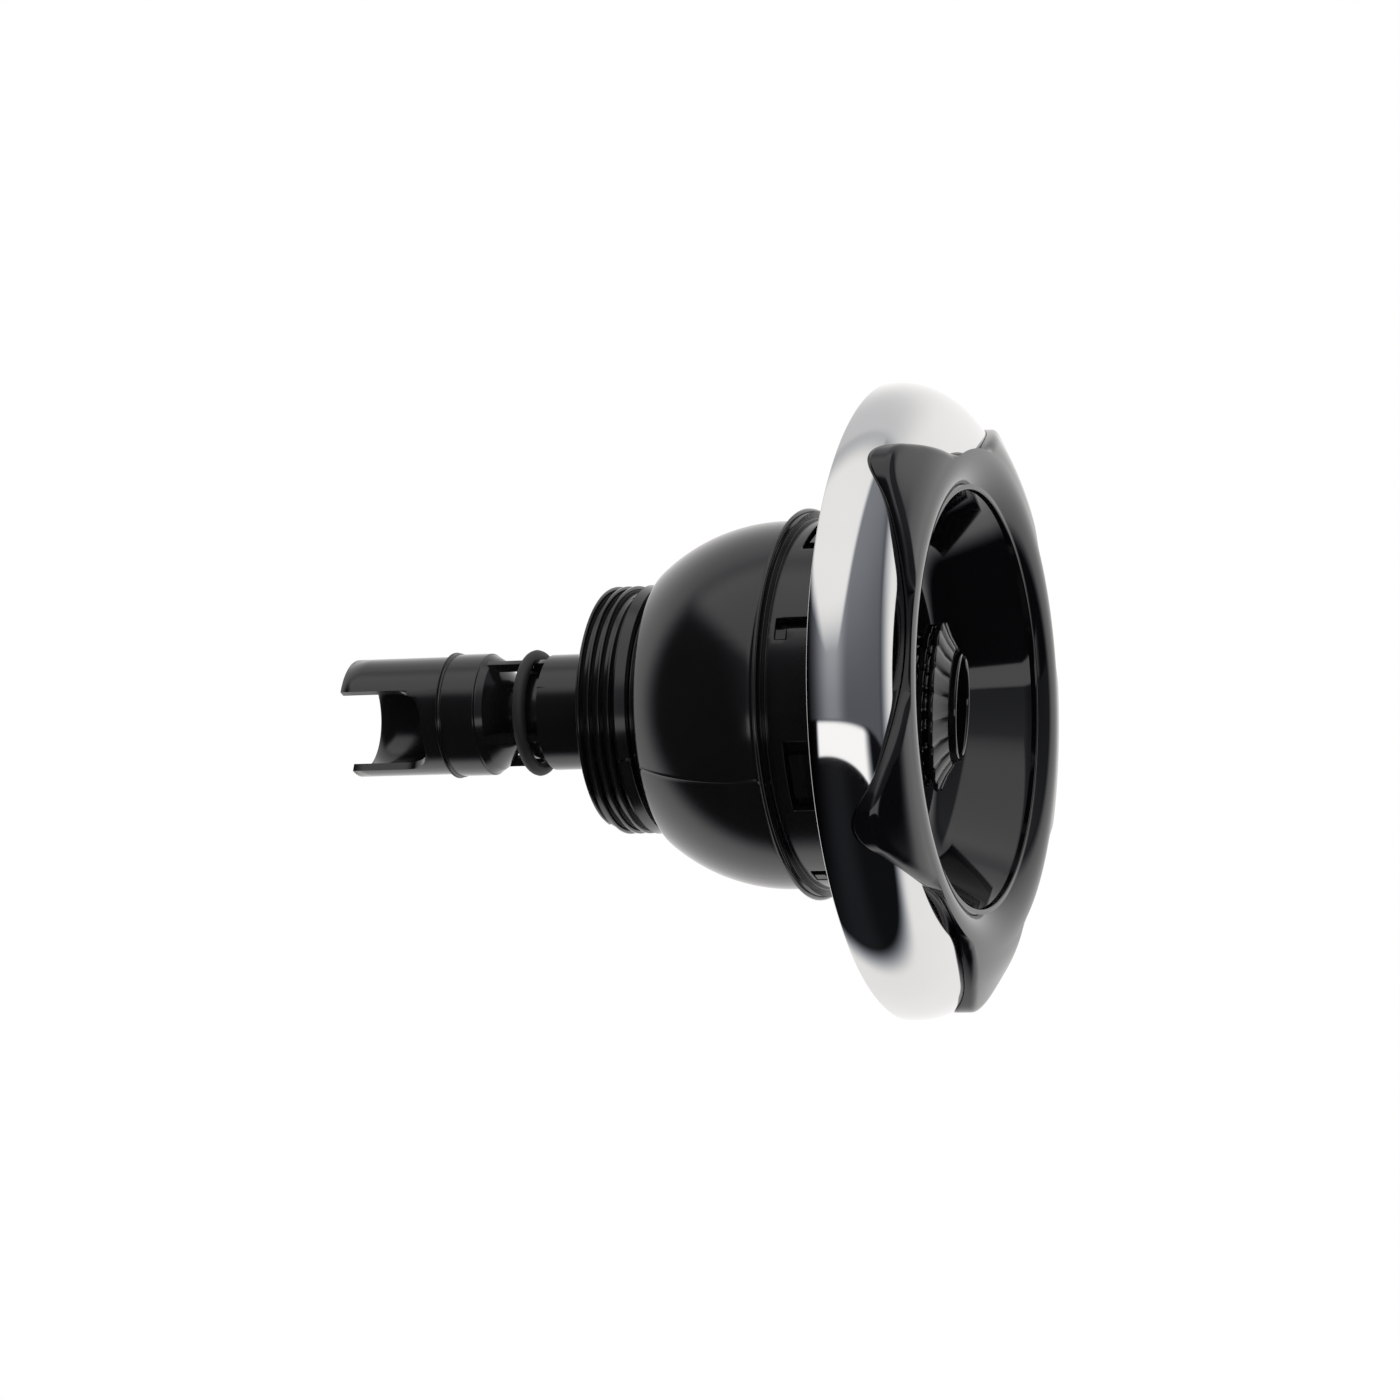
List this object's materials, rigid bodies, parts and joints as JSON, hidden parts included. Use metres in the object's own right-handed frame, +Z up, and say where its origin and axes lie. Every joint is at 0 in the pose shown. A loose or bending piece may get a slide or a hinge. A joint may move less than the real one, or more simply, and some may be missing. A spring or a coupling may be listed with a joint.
{
  "type": "hot tub jet",
  "caption": "Directional spa jet with a five-petal bowl face on a domed steel escutcheon, a tilting fluted nozzle, a domed housing with threaded neck and a caged valve stem.",
  "frame": {"origin": "on the jet axis in the middle plane of the housing's register bead", "axes": "+X along the jet axis out of the face, +Z up"},
  "size_m": [0.1347, 0.127, 0.127],
  "materials": {
    "black_abs": "glossy injection-moulded ABS",
    "black_acetal": "satin moulded acetal",
    "natural_acetal": "satin natural acetal",
    "polished_steel": "mirror-polished pressed stainless steel",
    "black_rubber": "matte moulded rubber"
  },
  "bodies": {
    "housing": {"housing": "black_abs", "retaining_ring": "black_acetal", "slip_washer": "natural_acetal"},
    "rotor": {"rotor_cup": "black_abs", "escutcheon": "polished_steel", "face": "black_abs", "stem": "black_abs", "stem_seal": "black_rubber", "seat_cushion": "black_rubber"},
    "seat": {"seat_ring": "natural_acetal"},
    "nozzle": {"eyeball": "black_abs", "grip_collar": "black_abs", "nozzle_insert": "black_abs"}
  },
  "joints": [
    {"name": "flow_turn", "type": "hinge", "parent": "housing", "child": "rotor", "pos_m": [0, 0, 0], "axis": [1, 0, 0], "range_deg": [0, 90]},
    {"name": "nozzle_swivel", "type": "hinge", "parent": "rotor", "child": "seat", "pos_m": [0.0057, 0, 0], "axis": [1, 0, 0], "continuous": true},
    {"name": "nozzle_tilt", "type": "hinge", "parent": "seat", "child": "nozzle", "pos_m": [0.0057, 0, 0], "axis": [0, 0.3305, 0.9438], "range_deg": [-25.6, 4.4]}
  ]
}
